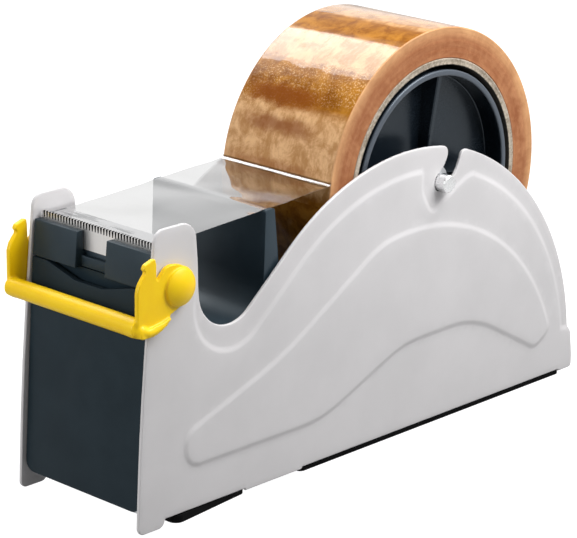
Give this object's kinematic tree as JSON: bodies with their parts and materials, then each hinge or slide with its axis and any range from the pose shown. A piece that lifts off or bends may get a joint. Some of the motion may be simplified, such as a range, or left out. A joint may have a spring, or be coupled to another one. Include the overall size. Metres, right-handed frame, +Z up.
{
  "type": "bench tape dispenser",
  "caption": "Bench tape dispenser with humped steel side plates, a drop-in roll on a ribbed hub, a toothed blade and a swinging blade guard.",
  "frame": {"origin": "on the bench, midway between the plates and midway along them", "axes": "+X to the right seen from the front, +Y to the back, +Z up"},
  "size_m": [0.064, 0.2128, 0.1348],
  "materials": {
    "grey_paint": "satin light grey paint",
    "zinc_steel": "zinc plated",
    "dark_plastic": "moulded dark blue-grey, fine texture",
    "hub_plastic": "moulded dark blue-grey, smooth",
    "blade_steel": "bare, ground teeth",
    "yellow_plastic": "moulded yellow",
    "bright_steel": "polished",
    "cardboard": "plain wound card",
    "wound_tape": "wound adhesive film, amber",
    "clear_film": "clear adhesive film",
    "black_rubber": "matt"
  },
  "bodies": {
    "frame": {"right_side_plate": "grey_paint", "left_side_plate": "grey_paint", "base_plate": "zinc_steel", "front_panel": "dark_plastic", "tape_tray": "dark_plastic", "blade_holder": "dark_plastic", "cutter_blade": "blade_steel", "guard_pivot_right": "bright_steel", "guard_pivot_left": "bright_steel", "tape_strip": "clear_film", "front_pad": "black_rubber", "rear_pad": "black_rubber", "tray_screws": "zinc_steel", "panel_screws": "zinc_steel"},
    "guard": {"safety_guard": "yellow_plastic"},
    "axle": {"hub_axle": "bright_steel", "axle_clips": "zinc_steel"},
    "roll": {"hub_right_half": "hub_plastic", "hub_left_half": "hub_plastic", "hub_screws": "zinc_steel", "cardboard_core": "cardboard", "tape_roll": "wound_tape"}
  },
  "joints": [
    {"name": "guard_hinge", "type": "hinge", "parent": "frame", "child": "guard", "pos_m": [0, -0.0894, 0.0764], "axis": [-1, 0, 0], "range_deg": [0, 75]},
    {"name": "axle_lift", "type": "hinge", "parent": "frame", "child": "axle", "pos_m": [0, 0.0247, 0.09608], "axis": [1, 0, 0], "range_deg": [0, 85]},
    {"name": "roll_spin", "type": "hinge", "parent": "axle", "child": "roll", "pos_m": [0, 0.0315, 0.0843], "axis": [1, 0, 0], "continuous": true}
  ]
}
